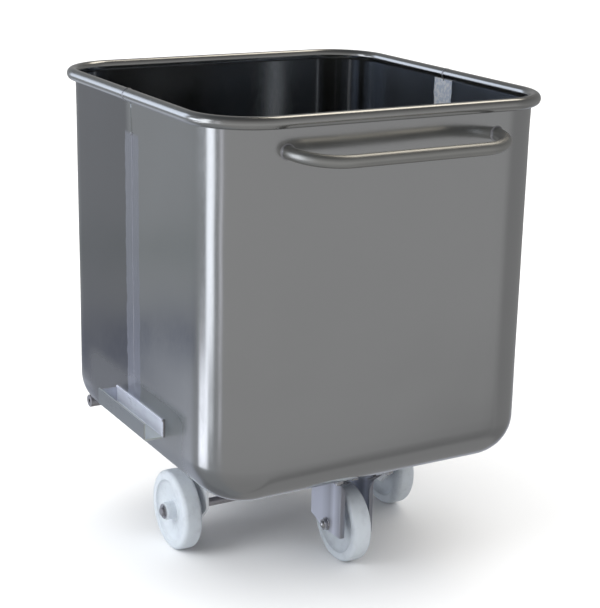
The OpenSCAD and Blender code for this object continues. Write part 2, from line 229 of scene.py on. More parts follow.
def sheet_steel():
    """The shells' sheet: a ground band along the seam, painted shade on the outer rear sides and on all
    inner faces, and painted pale bluish light on the inner left and right walls.
    """
    s = steel("satin_sheet", (0.56, 0.565, 0.57), 0.15, (1, 1, 0.15), 500.0, 0.0000015, 0.015)
    plain = s.bsdf.inputs["Base Color"].links[0].from_socket
    rough = s.bsdf.inputs["Roughness"].links[0].from_socket
    outside = sheet_outside(s)
    inside = s.math("SUBTRACT", 1.0, outside)
    from_middle = s.math("ABSOLUTE", s.axis(0))
    from_seam = s.math("SUBTRACT", s.axis(1), SEAM_Y)
    off_seam = s.math("ABSOLUTE", from_seam)

    # Plain sheet with painted light: painted shade on the outer rear sides and on all inner faces,
    # painted pale bluish light on the inner left and right walls, and the flush weld above the ground
    # band
    behind = s.ramp(from_seam, 0.004, 0.03)
    before_corner = s.ramp(from_seam, HALF_D - 0.06, HALF_D - 0.01, 1.0, 0.0)
    rear_painted_shade = s.math("MULTIPLY", s.math("MULTIPLY", behind, before_corner), outside)
    # Painted shade: the outer rear sides are darker
    plain = s.mix(rear_painted_shade, plain, (0.345, 0.345, 0.36))
    inner_side = s.math("MULTIPLY", inside, s.ramp(from_middle, HALF_W - 0.010, HALF_W - 0.004))
    # Painted shade: all inner faces are darker
    plain = s.mix(inside, plain, (0.45, 0.45, 0.44))
    # Painted light: the inner left and right walls are paler and bluish
    plain = s.mix(inner_side, plain, (0.66, 0.74, 0.88))
    on_weld = s.ramp(off_seam, SEAM_HALF, SEAM_HALF + 0.001, 1.0, 0.0)
    plain = s.mix(s.math("MULTIPLY", outside, on_weld), plain, (0.40, 0.42, 0.42))

    # Ground band: straight scratches outside, scribble inside, with a wandering edge
    wander = s.ramp(s.noise(30.0, 2.0), 0.3, 0.7, -0.002, 0.002)
    strip = s.ramp(s.math("ADD", off_seam, wander), BAND_HALF - 0.002, BAND_HALF + 0.002, 1.0, 0.0)
    below_top = s.ramp(s.axis(2), BAND_TOP - 0.004, BAND_TOP + 0.004, 1.0, 0.0)
    band = s.math("MULTIPLY", strip, s.math("MAXIMUM", below_top, inside))
    scratch = s.ramp(s.noise(260.0, 4.0, (1, 1, 0.05)), 0.35, 0.65)
    scribble = s.ramp(s.noise(150.0, 5.0, (1, 1, 0.8), 0.7), 0.42, 0.6)
    ground = s.mix(scratch, (0.57, 0.58, 0.65), (0.61, 0.62, 0.69))
    inner_ground = s.mix(scribble, (0.70, 0.76, 0.86), (0.97, 0.98, 1.0))
    worked = s.mix(inside, ground, inner_ground)
    s.link(s.mix(band, plain, worked), s.bsdf.inputs["Base Color"])

    # Rougher on the band, on the inner sides, and where the rails were welded on
    rail_high, rail_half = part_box("lift_rail_left")[1].z, size("lift_rail_left").y / 2
    low_down = s.ramp(s.axis(2), rail_high + 0.01, rail_high + 0.05, 1.0, 0.0)
    along_rail = s.ramp(off_seam, rail_half + 0.07, rail_half + 0.13, 1.0, 0.0)
    by_rail = s.math("MULTIPLY", s.math("MULTIPLY", low_down, along_rail), outside)
    lift = s.math("MULTIPLY", band, s.math("ADD", s.math("MULTIPLY", inside, 0.3), 0.06))
    lift = s.math("ADD", lift, s.math("MULTIPLY", by_rail, 0.25))
    lift = s.math("ADD", lift, s.math("MULTIPLY", inner_side, 0.06))
    s.link(s.math("ADD", rough, lift), s.bsdf.inputs["Roughness"])
    matt = s.math("MULTIPLY", inner_side, s.math("ADD", s.math("MULTIPLY", band, 0.25), 0.015))
    s.link(s.math("SUBTRACT", 1.0, matt), s.bsdf.inputs["Metallic"])
    return s.material


def weld_metal():
    """Dressed weld beads."""
    s = steel("ground_weld", (0.56, 0.56, 0.59), 0.3, (1, 1, 1), 400.0, 0.00003, 0.06)
    return s.material


def rail_steel():
    """The rails' plate: painted light on every face but the outer one, paler and bluish in streaks on the
    back plate; the outer face is plain satin.
    """
    s = steel("rail_plate", (0.50, 0.52, 0.53), 0.3, (1, 0.1, 1), 500.0, 0.000006, 0.04)
    outer_face = -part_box("lift_rail_left")[0].x
    back_face = HALF_W + RAIL_PLATE
    plain = s.bsdf.inputs["Base Color"].links[0].from_socket
    across = s.math("ABSOLUTE", s.axis(0))
    back = s.ramp(across, back_face + 0.0005, back_face + 0.0015, 1.0, 0.0)
    inner = s.ramp(across, outer_face - 0.0015, outer_face - 0.0005, 1.0, 0.0)
    # Painted light: the back plate pale bluish in soft streaks along the rail, the other inner faces
    # lighter than the outside
    light_streaks = s.ramp(s.noise(60.0, 4.0, (1, 0.3, 1)), 0.35, 0.7)
    painted_back_light = s.mix(light_streaks, (0.78, 0.82, 0.93), (0.70, 0.72, 0.84))
    painted_inner_light = s.mix(inner, plain, (0.60, 0.64, 0.63))
    s.link(s.mix(back, painted_inner_light, painted_back_light), s.bsdf.inputs["Base Color"])
    matt = s.math("ADD", s.math("MULTIPLY", inner, 0.45), s.math("MULTIPLY", back, 0.3))
    s.link(s.math("SUBTRACT", 1.0, matt), s.bsdf.inputs["Metallic"])
    return s.material


# Painted shade and highlight by distance from a fork's front edge, as a share of the leg's length: dark
# on the folded edge, light and dark upright bands on the leg. The ends come first.
FORK_PAINTED_SHADING = [
    (0.0, 0.12), (1.0, 0.98), (0.128, 0.14), (0.165, 0.45), (0.34, 0.98), (0.46, 0.66), (0.70, 0.95),
]


def fork_steel(end):
    """A fork's pressed plate: painted shade on its folded front edge, and upright soft bands of painted
    highlight and shade on the legs.
    """
    s = steel(end + "_fork_plate", CASTOR_TINT, 0.38, (1, 1, 0.1), 500.0, 0.00001, 0.05, 0.85)
    low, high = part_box(end + "_fork")
    from_front = s.math("DIVIDE", s.math("SUBTRACT", s.axis(1), low.y), high.y - low.y)
    # Painted shade and highlight: the tones of the fork's tone table across the leg
    stops = [(position, (tone * 0.87, tone * 0.89, tone)) for position, tone in FORK_PAINTED_SHADING]
    s.link(s.colour_ramp(from_front, stops), s.bsdf.inputs["Base Color"])
    return s.material


def nylon():
    """White polyamide: faint gloss, slightly dirty in random patches, fine moulding speckle."""
    s = Shader("white_nylon")
    speckle = s.noise(900.0, 2.0)
    dirt = s.noise(38.0, 6.0, roughness=0.7)
    soiled = s.ramp(dirt, 0.45, 0.75)
    s.link(s.mix(soiled, (0.62, 0.665, 0.71), (0.53, 0.565, 0.61)), s.bsdf.inputs["Base Color"])
    s.link(s.ramp(dirt, 0.3, 0.7, 0.34, 0.5), s.bsdf.inputs["Roughness"])
    s.bsdf.inputs["Subsurface Weight"].default_value = 0.12
    s.bsdf.inputs["Subsurface Radius"].default_value = (0.004, 0.004, 0.005)
    s.bump(speckle, 0.00004, 0.4)
    return s.material


def acetal():
    """Near-black bush plastic with a fine speckle."""
    s = Shader("dark_acetal")
    speckle = s.noise(700.0, 3.0)
    s.link(s.mix(speckle, (0.02, 0.02, 0.022), (0.05, 0.05, 0.055)), s.bsdf.inputs["Base Color"])
    s.link(s.ramp(speckle, 0.3, 0.7, 0.35, 0.5), s.bsdf.inputs["Roughness"])
    s.bump(speckle, 0.00003, 0.4)
    return s.material


CASTOR_TINT = (0.62, 0.64, 0.73)
# Name, tint, roughness, grain stretch, grain scale, grain depth, contrast, metallic
PLAIN_STEELS = {
    "tube_steel": ("polished_tube", (0.57, 0.57, 0.56), 0.2, (1, 1, 1), 800.0, 0.000004),
    # plate_steel is paler and bluish than the sheet: painted window light
    "plate_steel": ("satin_plate_painted_light", (0.66, 0.68, 0.76), 0.32, (1, 0.1, 1), 500.0, 0.000006, 0.05, 0.8),
    "bar_steel": ("drawn_bar", (0.50, 0.49, 0.52), 0.3, (0.1, 1, 1), 600.0, 0.000006, 0.05, 0.92),
    "fastener_steel": ("bright_fastener", (0.56, 0.56, 0.58), 0.2, (1, 1, 1), 900.0, 0.000006),
    "castor_steel": ("pressed_castor", CASTOR_TINT, 0.38, (1, 1, 0.1), 500.0, 0.00001, 0.05, 0.85),
    "ball_steel": ("polished_ball", (0.68, 0.68, 0.70), 0.1, (1, 1, 1), 900.0, 0.000003),
}
MATERIALS = {slot: steel(*values).material for slot, values in PLAIN_STEELS.items()}
MATERIALS["pressed_sheet"] = sheet_steel()
MATERIALS["weld_metal"] = weld_metal()
MATERIALS["nylon_white"] = nylon()
MATERIALS["bush_plastic"] = acetal()
# Steels for single pieces, whose slot stays that of their node
HANDLE_STEEL = steel("satin_tube", (0.60, 0.60, 0.58), 0.38, (1, 1, 1), 800.0, 0.000004).material
# Painted light: a pale, half matt copy of the plate steel, so the hangers' faces in the wheels' shade
# come out light
HANGER_PAINTED_LIGHT_STEEL = steel(
    "hanger_plate_painted_light", (0.82, 0.84, 0.87), 0.45, (1, 1, 1), 500.0, 0.000006, 0.04, 0.3
).material
RAIL_STEEL = rail_steel()
NODE_SLOT = {p["node"]: p["material_slot"] for p in frame["record"]["subparts"]}
NODE_BODY = {
    node: body for body, nodes in frame["record"]["behaviour"]["bodies"].items() for node in nodes
}

for node_name, node_object in frame["nodes"].items():
    node_object.data.materials.clear()
    node_object.data.materials.append(MATERIALS[NODE_SLOT[node_name]])


# ---- mesh building ----


def piece(name, vertices, faces, node=None, body=None, slot=None, look=None, bevel=0.0):
    """A mesh that rides on its body. With node, it stands for that CAD node.

    Its material is look, or the one of its slot.
    """
    mesh = bpy.data.meshes.new(name)
    mesh.from_pydata([tuple(v) for v in vertices], [], faces)
    work = bmesh.new()
    work.from_mesh(mesh)
    bmesh.ops.remove_doubles(work, verts=work.verts, dist=1e-6)
    bmesh.ops.recalc_face_normals(work, faces=work.faces)
    work.to_mesh(mesh)
    work.free()
    mesh.shade_smooth()
    thing = bpy.data.objects.new(name, mesh)
    bpy.context.scene.collection.objects.link(thing)
    slot = slot or NODE_SLOT[node]
    mesh.materials.append(look or MATERIALS[slot])
    if bevel:
        rounding = thing.modifiers.new("edges", "BEVEL")
        rounding.width = bevel
        rounding.segments = 3
        rounding.limit_method = "ANGLE"
        rounding.angle_limit = math.radians(35)
        thing.modifiers.new("normals", "WEIGHTED_NORMAL")
    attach(thing, body or NODE_BODY[node])
    if node:
        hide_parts(node)
    return thing


def join(*parts):
    """(vertices, faces) of several meshes put together."""
    vertices, faces = [], []
    for part_vertices, part_faces in parts:
        base = len(vertices)
        vertices += part_vertices
        faces += [[base + i for i in face] for face in part_faces]
    return vertices, faces


def placed(part, matrix):
    """A vertices and faces pair, moved by the matrix."""
    return [matrix @ Vector(v) for v in part[0]], part[1]


def arc(centre, radius, start, end, steps):
    """Points on a circle from the start to the end angle, in degrees."""
    points = []
    for i in range(steps + 1):
        a = math.radians(start + (end - start) * i / steps)
        points.append((centre[0] + radius * math.cos(a), centre[1] + radius * math.sin(a)))
    return points


def rings_to_mesh(rings, closed_rings=True, loop=False, capped=True):
    """Skins a list of equal rings of points."""
    count = len(rings[0])
    vertices = [v for ring in rings for v in ring]
    faces = []
    pairs = len(rings) if loop else len(rings) - 1
    for i in range(pairs):
        a, b = i * count, ((i + 1) % len(rings)) * count
        for j in range(count if closed_rings else count - 1):
            k = (j + 1) % count
            faces.append([a + j, a + k, b + k, b + j])
    if capped and not loop:
        faces.append(list(range(count)))
        faces.append([(len(rings) - 1) * count + j for j in range(count)])
    return vertices, faces


def sweep(path, section, up, loop=False):
    """Carries a section along a path in one plane: section x lies across the path, y along up."""
    rings = []
    last = len(path) - 1
    for i, point in enumerate(path):
        before = path[i - 1] if i or loop else path[0]
        after = path[(i + 1) % len(path)] if i < last or loop else path[last]
        side = (after - before).normalized().cross(up)
        rings.append([point + side * x + up * y for x, y in section])
    return rings_to_mesh(rings, loop=loop)


def lathe(profile, steps=64, wobble=None):
    """Turns a closed (radius, along) profile about X. wobble gives another radius to each point."""
    rings = []
    for i in range(steps):
        a = 2 * math.pi * i / steps
        ring = []
        for radius, along in profile:
            r = radius if wobble is None else wobble(a, radius, along)
            ring.append(Vector((along, r * math.cos(a), r * math.sin(a))))
        rings.append(ring)
    return rings_to_mesh(rings, loop=True)


def turned(profile, steps=64):
    """Turns an open profile that starts and ends on the axis: a solid with no bore."""
    rings = []
    for radius, along in profile:
        ring = []
        for i in range(steps):
            a = 2 * math.pi * i / steps
            ring.append(Vector((along, max(radius, 1e-5) * math.cos(a), max(radius, 1e-5) * math.sin(a))))
        rings.append(ring)
    return rings_to_mesh(rings)


def prism(outline, thickness):
    """An outline in XY, extruded from z = 0 to the thickness."""
    rings = [[Vector((x, y, z)) for x, y in outline] for z in (0.0, thickness)]
    return rings_to_mesh(rings)


def pierced(outline, holes, thickness):
    """A plate with holes: outline and holes are closed lists of points in XY."""
    work = bmesh.new()
    edges = []
    for loop_points in [outline, *holes]:
        corners = [work.verts.new((x, y, 0)) for x, y in loop_points]
        for i, corner in enumerate(corners):
            edges.append(work.edges.new((corner, corners[(i + 1) % len(corners)])))
    bmesh.ops.triangle_fill(work, use_beauty=True, use_dissolve=False, edges=edges)
    shell = bmesh.ops.extrude_face_region(work, geom=work.faces[:])
    moved = [v for v in shell["geom"] if isinstance(v, bmesh.types.BMVert)]
    bmesh.ops.translate(work, verts=moved, vec=(0, 0, thickness))
    work.verts.index_update()
    vertices = [v.co.copy() for v in work.verts]
    faces = [[v.index for v in face.verts] for face in work.faces]
    work.free()
    return vertices, faces


def round_corners(points, radii, steps=5):
    """A polygon with each corner rounded to its radius."""
    result = []
    for i, point in enumerate(points):
        p = Vector(point)
        to_last = (Vector(points[i - 1]) - p).normalized()
        to_next = (Vector(points[(i + 1) % len(points)]) - p).normalized()
        half = to_last.angle(to_next) / 2
        radius = radii[i] if isinstance(radii, (list, tuple)) else radii
        if radius <= 0:
            result.append(tuple(p))
            continue
        reach = radius / math.tan(half)
        centre = p + (to_last + to_next).normalized() * (radius / math.sin(half))
        a, b = p + to_last * reach - centre, p + to_next * reach - centre
        for step in range(steps + 1):
            direction = a.slerp(b, step / steps) if a.angle(b) > 1e-4 else a
            result.append(tuple(centre + direction.normalized() * radius))
    return result


def circle(radius, steps=48, centre=(0, 0)):
    """A closed ring of points."""
    return arc(centre, radius, 0, 360 * (steps - 1) / steps, steps - 1)


def stand(matrix_columns, origin):
    """A matrix whose X, Y and Z go along the three given directions, moved to origin."""
    rows = [[matrix_columns[c][r] for c in range(3)] + [origin[r]] for r in range(3)]
    return Matrix([*rows, [0, 0, 0, 1]])


X, Y, Z = Vector((1, 0, 0)), Vector((0, 1, 0)), Vector((0, 0, 1))


# ---- tub shells ----


def half_outline(inset, side_steps=12, corner_steps=18, back_steps=22):
    """Half of the tub's outline, from the seam on the right round the back to the seam on the left."""
    radius = CORNER_R - inset
    flat_x, flat_y = HALF_W - CORNER_R, HALF_D - CORNER_R
    run = flat_y - SEAM_HALF
    right = [(HALF_W - inset, SEAM_HALF + run * i / side_steps) for i in range(side_steps)]
    right += arc((flat_x, flat_y), radius, 0, 90, corner_steps)
    back = [(flat_x - 2 * flat_x * i / back_steps, HALF_D - inset) for i in range(1, back_steps)]
    return right + back + [(-x, y) for x, y in reversed(right)]


def smooth_step(value, low, high):
    """0 below low, 1 above high, and an S curve between."""
    t = min(1.0, max(0.0, (value - low) / (high - low)))
    return t * t * (3 - 2 * t)


def ripple(x, y, z):
    """Depth of the pressing's faint waves, zero from the rails down and near the rim."""
    waves = noise.noise(Vector((x * 5.0, y * 5.0, z * 3.2)) + Vector((3.1, 7.7, 1.3)))
    waves += 0.4 * noise.noise(Vector((x * 13.0, y * 13.0, z * 9.0)))
    free = smooth_step(z, 0.31, 0.40) * (1 - smooth_step(z, RIM_Z - 0.06, RIM_Z - 0.02))
    return 0.0007 * (waves - 0.8) * free


def split_edges(thing):
    """Keeps cut edges crisp beside smooth faces."""
    split = thing.modifiers.new("split", "EDGE_SPLIT")
    split.split_angle = math.radians(45)


def half_shell(name, node, way):
    """One pressed half of the tub. way is +1 for the rear half and -1 for the front half."""
    top = RIM_Z - TUBE_R * 0.8
    bend_z = BOTTOM_Z + BOTTOM_R
    wall_steps = 32
    levels = [(0.0, top + (bend_z - top) * i / wall_steps) for i in range(wall_steps)]
    for a in range(0, 91, 5):
        t = math.radians(a)
        levels.append((BOTTOM_R * (1 - math.cos(t)), bend_z - BOTTOM_R * math.sin(t)))
    rings = []
    for inset, z in levels:
        ring = []
        for x, y in half_outline(inset):
            depth = ripple(x, way * y, z)
            outward = Vector((x, y * HALF_W / HALF_D, 0)).normalized()
            if abs(x) < HALF_W - CORNER_R:
                outward = Y.copy()
            elif y < HALF_D - CORNER_R:
                outward = X * (1 if x > 0 else -1)
            ring.append(Vector((x, y, z)) + outward * depth)
        rings.append(ring)
    vertices, faces = rings_to_mesh(rings, closed_rings=False, capped=False)
    count = len(rings[0])
    base = (len(rings) - 1) * count
    for i in range(count // 2):
        j = count - 1 - i
        if j - i > 1:
            faces.append([base + i, base + i + 1, base + j - 1, base + j])
    moved = [Vector((v.x, SEAM_Y + way * v.y, v.z)) for v in vertices]
    thing = piece(name, moved, faces, node)
    work = bmesh.new()
    work.from_mesh(thing.data)
    inside = Vector((0, SEAM_Y + way * HALF_D / 2, RIM_Z / 2 + BOTTOM_Z / 2))
    wall = max(work.faces, key=lambda f: way * f.calc_center_median().y)
    if wall.normal.dot(wall.calc_center_median() - inside) < 0:
        bmesh.ops.reverse_faces(work, faces=work.faces)
    work.to_mesh(thing.data)
    work.free()
    thickness = thing.modifiers.new("sheet", "SOLIDIFY")
    thickness.thickness = SHEET
    thickness.offset = -1
    thickness.use_even_offset = True
    split_edges(thing)


half_shell("shell_front", "tub_front_shell", -1)
half_shell("shell_rear", "tub_rear_shell", 1)


def seam_weld():
    """The weld that fills the gap between the halves: a flat bead, ground almost flush."""
    mid = SHEET / 2
    half = HALF_W - mid
    radius = BOTTOM_R - mid
    bend_z = BOTTOM_Z + BOTTOM_R
    right = [(half, RIM_Z - TUBE_R - 0.001 - i * 0.012) for i in range(46)]
    right += arc((half - radius, bend_z), radius, 0, -90, 24)
    flat = [(-(half - radius) + (half - radius) * 2 * i / 40, BOTTOM_Z + mid) for i in range(1, 40)]
    outline = right + list(reversed(flat)) + [(-x, z) for x, z in reversed(right)]
    path = [Vector((x, SEAM_Y, z)) for x, z in outline]
    section = []
    for x, y in round_corners([(-1, -1), (1, -1), (1, 1), (-1, 1)], 0.4, 3):
        section.append((x * (mid + 0.0001), y * (SEAM_HALF + 0.0004)))
    look = MATERIALS["pressed_sheet"]
    piece("seam_weld", *sweep(path, section, Y), node="tub_seam_weld", look=look)


seam_weld()


def seam_tacks():
    """A low blob of weld on each side of the tub, where the ground band ends."""
    spread, crown = 0.0024, 0.0009
    root = 0.0006
    quarter = [math.radians(a) for a in range(0, 91, 15)]
    profile = [(spread * math.cos(a), crown * math.sin(a)) for a in quarter]
    profile = [(0, -root), (spread, -root), *profile]
    parts = []
    for side in (-1, 1):
        where = Matrix.Translation((side * HALF_W, SEAM_Y, BAND_TOP))
        parts.append(placed(turned(profile, 24), where @ Matrix.Scale(side, 4, X)))
    piece("seam_tacks", *join(*parts), body="tub", slot="weld_metal")


seam_tacks()


# ---- rim ----


def rim_half(name, node, way):
    """Half of the tubular rim. Its ends are left crisp for the butt welds."""
    corner = CORNER_R + RIM_OUT
    flat_x, flat_y = HALF_W - CORNER_R, HALF_D - CORNER_R
    right = [(HALF_W + RIM_OUT, SEAM_HALF + (flat_y - SEAM_HALF) * i / 8) for i in range(8)]
    right += arc((flat_x, flat_y), corner, 0, 90, 32)
    back = [(flat_x - 2 * flat_x * i / 12, HALF_D + RIM_OUT) for i in range(1, 12)]
    outline = right + back + [(-x, y) for x, y in reversed(right)]
    path = [Vector((x, SEAM_Y + way * y, RIM_Z)) for x, y in outline]
    split_edges(piece(name, *sweep(path, circle(TUBE_R, 48), Z), node=node))


rim_half("rim_tube_front", "rim_front", -1)
rim_half("rim_tube_rear", "rim_rear", 1)


def weld_wobble(ripples, depth, seed):
    """A radius for lathe() that rises and falls round a weld bead."""

    def radius_at(a, radius, along):
        wave = math.sin(a * ripples + 2.0 * noise.noise(Vector((math.cos(a), math.sin(a), seed))))
        rough = noise.noise(Vector((3 * math.cos(a), 3 * math.sin(a), seed + 4.0)))
        return radius + depth * (0.5 * wave + rough)

    return radius_at


def rim_beads():
    """The beads round the rim at its two butt welds."""
    half = 0.0026
    crown = 0.0007
    outer = [(TUBE_R - 0.0006, -half)]
    outer += [(TUBE_R + crown * math.cos(math.radians(a)), half * math.sin(math.radians(a)))
              for a in range(-80, 81, 20)]
    outer += [(TUBE_R - 0.0006, half)]
    turn = Matrix.Rotation(math.pi / 2, 4, "Z")
    parts = []
    for side in (-1, 1):
        ring = lathe(outer, 96, weld_wobble(34, 0.0002, side))
        where = Matrix.Translation((side * (HALF_W + RIM_OUT), SEAM_Y, RIM_Z))
        parts.append(placed(ring, where @ turn))
    piece("rim_weld_beads", *join(*parts), node="rim_welds")


rim_beads()


# ---- push handle ----


def push_handle():
    """The bent tube. Its bar droops a little, as in the photo."""
    bend = HANDLE_REACH
    straight = HANDLE_END - bend
    right = [(HANDLE_END, 0.001)]
    right += arc((straight, 0), bend, 0, -90, 32)
    bar = [(straight - 2 * straight * i / 10, -bend) for i in range(1, 10)]
    outline = right + bar + [(-x, y) for x, y in reversed(right)]
    path = [Vector((x, WALL_Y + y, HANDLE_Z + HANDLE_DROOP * y / bend)) for x, y in outline]
    tube = sweep(path, circle(TUBE_R, 48), Z)
    split_edges(piece("handle_tube", *tube, node="push_handle", look=HANDLE_STEEL))


push_handle()


def handle_rings():
    """Fillet welds where the handle meets the wall: concave, rippled, uneven at the toe."""
    leg = 0.0028
    fillet = [(TUBE_R + leg * (1 - math.sin(math.radians(a))), leg * (1 - math.cos(math.radians(a))))
              for a in range(0, 91, 15)]
    profile = [(TUBE_R - 0.001, -0.001), (TUBE_R + leg, -0.001), *fillet, (TUBE_R - 0.001, leg)]
    turn = Matrix.Rotation(-math.pi / 2, 4, "Z")
    parts = []
    for side in (-1, 1):
        ring = lathe(profile, 96, weld_wobble(30, 0.0004, 5 + side))
        parts.append(placed(ring, Matrix.Translation((side * HANDLE_END, WALL_Y, HANDLE_Z)) @ turn))
    piece("handle_weld_rings", *join(*parts), node="handle_welds")


handle_rings()


# ---- lift rails ----


def rail(side_name, side):
    """A lift rail: a channel that is open at the top."""
    node = "lift_rail_" + side_name
    low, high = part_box(node)
    width, height, length = high.x - low.x, high.z - low.z, high.y - low.y
    plate = RAIL_PLATE
    outer = round_corners([(0, height), (0, 0), (width, 0), (width, height)], [0, 0.005, 0.005, 0])
    inner = round_corners(
        [(width - plate, height), (width - plate, plate), (plate, plate), (plate, height)],
        [0, 0.002, 0.002, 0],
    )
    along = stand((X * side, Z, Y), (side * HALF_W, low.y, low.z))
    channel = placed(prism(outer + inner, length), along)
    # The channel wears the rail steel, with its painted light inside
    piece(node + "_channel", *channel, node=node, look=RAIL_STEEL, bevel=0.0005)


def rail_stop(side_name, side):
    """The plate that closes a rail's rear end."""
    rail_low, rail_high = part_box("lift_rail_" + side_name)
    node = "rail_stop_" + side_name
    low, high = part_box(node)
    left, bottom = RAIL_PLATE, RAIL_PLATE
    right = rail_high.x - rail_low.x - RAIL_PLATE
    top = rail_high.z - rail_low.z - RAIL_PLATE
    stop = round_corners(
        [(left, top), (left, bottom), (right, bottom), (right, top)], [0.001, 0.002, 0.002, 0.001]
    )
    back = stand((X * side, Z, Y), (side * HALF_W, low.y, rail_low.z))
    piece(node + "_plate", *placed(prism(stop, high.y - low.y), back), node=node, bevel=0.0005)


for rail_name, rail_side in (("left", -1), ("right", 1)):
    rail(rail_name, rail_side)
    rail_stop(rail_name, rail_side)


def bead(points, leg, seed):
    """A lumpy half-round weld bead along a line of points."""
    rings = []
    for i, point in enumerate(points):
        before, after = points[max(i - 1, 0)], points[min(i + 1, len(points) - 1)]
        along = (after - before).normalized()
        across = along.orthogonal().normalized()
        other = along.cross(across)
        swell = 1 + 0.22 * math.sin(i * 1.9 + seed) + 0.3 * noise.noise(Vector((i * 0.6, seed, 0)))
        r = leg * swell * (0.55 if i in (0, len(points) - 1) else 1)
        rings.append([point + across * r * x + other * r * y for x, y in circle(1.0, 10)])
    return rings_to_mesh(rings)


def rail_weld(side_name, side):
    """The fillet that holds the rail's front end to the wall, with the blob where it was started."""
    low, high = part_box("lift_rail_" + side_name)
    x = side * (HALF_W + 0.0008)
    steps = 14
    inset = 0.001
    rise = high.z - low.z - 2 * inset
    run = [Vector((x, low.y - 0.0006, low.z + inset + rise * i / steps)) for i in range(steps + 1)]
    upright = bead(run, 0.0016, 2.0 + side)
    radius = 0.0028
    half_turn = [math.radians(a) for a in range(0, 181, 15)]
    blob = turned([(radius * math.sin(a), radius * math.cos(a)) for a in half_turn], 20)
    top = placed(blob, Matrix.Translation((side * (HALF_W + 0.0015), low.y, high.z)))
    piece("rail_weld_" + side_name, *join(upright, top), body="tub", slot="weld_metal")


rail_weld("left", -1)
rail_weld("right", 1)


# ---- rear lift bar, axle and hangers ----


def bar_with_sockets():
    """The rear lift bar, with a shallow round socket in each end."""
    low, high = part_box("rear_lift_bar")
    radius = (high.z - low.z) / 2
    socket, depth, chamfer = 0.004, 0.03, 0.001
    profile = [(0, low.x + depth), (socket, low.x + depth), (socket, low.x + chamfer / 2)]
    profile += [(socket + chamfer / 2, low.x), (radius - chamfer, low.x), (radius, low.x + chamfer)]
    profile += [(r, -x) for r, x in reversed(profile)]
    centre = middle("rear_lift_bar")
    where = Matrix.Translation((0, centre.y, centre.z))
    piece("lift_bar", *placed(turned(profile, 40), where), node="rear_lift_bar", bevel=0.0003)


bar_with_sockets()


def axle():
    """The fixed wheels' axle, with a groove for each circlip."""
    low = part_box("wheel_axle")[0]
    centre = middle("wheel_axle")
    clip_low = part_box("axle_circlips")[0].x
    groove = 0.0008
    chamfer = 0.0015
    width = 0.0012
    end = [(0, low.x), (AXLE_R - chamfer, low.x), (AXLE_R, low.x + chamfer), (AXLE_R, clip_low)]
    end += [(AXLE_R - groove, clip_low), (AXLE_R - groove, clip_low + width), (AXLE_R, clip_low + width)]
    profile = end + [(r, -x) for r, x in reversed(end)]
    where = Matrix.Translation((0, centre.y, centre.z))
    piece("axle_shaft", *placed(turned(profile, 48), where), node="wheel_axle", bevel=0.0002)


axle()


def washer_profile(inner, outer, start):
    """Half section of a washer from start along the axis, with its outer edges broken."""
    edge = 0.0004
    end = start + WASHER
    return [
        (inner, start), (outer - edge, start), (outer, start + edge),
        (outer, end - edge), (outer - edge, end), (inner, end),
    ]


def axle_washers():
    """A washer on each side of both fixed wheels."""
    centre = middle("wheel_axle")
    outer = size("axle_washers").z / 2
    wheel_low, wheel_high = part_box("right_wheel")
    gap = 0.0005
    starts = [wheel_low.x - gap - WASHER, wheel_high.x + gap]
    starts += [-start - WASHER for start in starts]
    rings = [lathe(washer_profile(AXLE_R, outer, start), 48) for start in starts]
    where = Matrix.Translation((0, centre.y, centre.z))
    piece("axle_washer_set", *placed(join(*rings), where), node="axle_washers", bevel=0.0002)


axle_washers()


def hanger(side_name):
    """A cropped plate that carries the axle, with a small lock hole."""
    node = "axle_hanger_" + side_name
    low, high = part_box(node)
    centre = middle("wheel_axle")
    half, shoulder, foot = (high.y - low.y) / 2, 0.092, 0.030
    right = [(foot, low.z), (half, shoulder), (half, high.z)]
    corners = [(-y, z) for y, z in reversed(right)] + right
    outline = round_corners(corners, [0, 0.006, 0.006, 0.006, 0.006, 0])
    lock_hole = circle(0.003, 20, (-0.038, shoulder - 0.004))
    plate = pierced(outline, [circle(AXLE_R, 40, (0, centre.z)), lock_hole], high.x - low.x)
    along = stand((Y, Z, X), (low.x, centre.y, 0))
    # The plate wears the pale hanger steel, which paints light on it
    piece(node + "_plate", *placed(plate, along), node=node, look=HANGER_PAINTED_LIGHT_STEEL, bevel=0.0006)


def hanger_weld(side_name, side):
    """The fillets between a hanger's two faces and its pad, with uneven toes."""
    node = "axle_hanger_" + side_name
    low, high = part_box(node)
    toe, inset, steps = 0.004, 0.002, 30
    reach = high.y - low.y - 2 * inset
    run = [Vector((0, low.y + inset + i * reach / steps, high.z)) for i in range(steps + 1)]
    beads = []
    for x, way in ((low.x, -1), (high.x, 1)):
        rings = []
        for i, point in enumerate(run):
            swell = 1 + 0.18 * math.sin(i * 2.1) + 0.25 * noise.noise(Vector((i * 0.7, side, way)))
            leg = toe * swell * (0.5 if i in (0, steps) else 1)
            base = point + X * x
            rings.append([
                base, base + X * way * leg, base + X * way * leg * 0.55 - Z * leg * 0.55, base - Z * leg,
            ])
        beads.append(rings_to_mesh(rings))
    piece(node + "_weld", *join(*beads), body="tub", slot="weld_metal")


for hanger_name, hanger_side in (("left", -1), ("right", 1)):
    hanger(hanger_name)
    hanger_weld(hanger_name, hanger_side)


# ---- wheels ----


